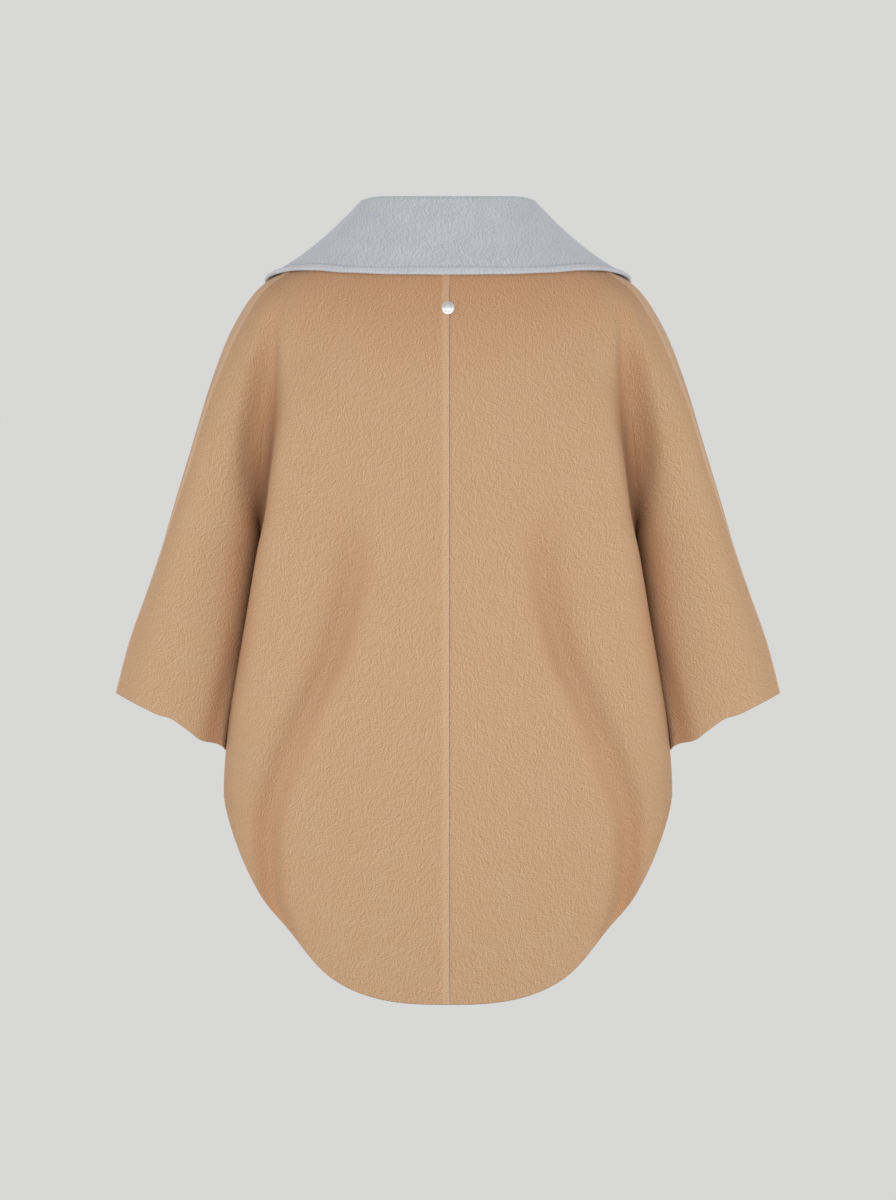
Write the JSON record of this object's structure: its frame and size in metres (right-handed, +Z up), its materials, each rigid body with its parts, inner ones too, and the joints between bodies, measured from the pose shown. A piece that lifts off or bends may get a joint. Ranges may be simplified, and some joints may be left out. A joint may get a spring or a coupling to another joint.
{
  "type": "pea coat",
  "caption": "Cocoon pea coat in camel wool, sleeves cut in one with the body, wide blue-grey collar and rounded hem, filled out and hollow as if worn.",
  "frame": {"origin": "middle of the neck base, level with the neck seam at the centre back, where a wearer's shoulders hold the coat", "axes": "+Z up, +Y out of the coat's back, -Y out of its lapped front, +X towards the wearer's left"},
  "size_m": [0.7052, 0.2756, 0.8574],
  "materials": {
    "camel_wool": "brushed felted nap",
    "blue_grey_wool": "brushed felted nap, the cloth's reverse face",
    "brown_horn": "satin",
    "brushed_silver": "brushed"
  },
  "bodies": {
    "root": {"back_left": "camel_wool", "back_right": "camel_wool", "front_left": "camel_wool", "front_right": "camel_wool", "collar": "blue_grey_wool", "button_1": "brown_horn", "button_2": "brown_horn", "button_3": "brown_horn", "button_4": "brown_horn", "stud": "brushed_silver"}
  },
  "joints": []
}
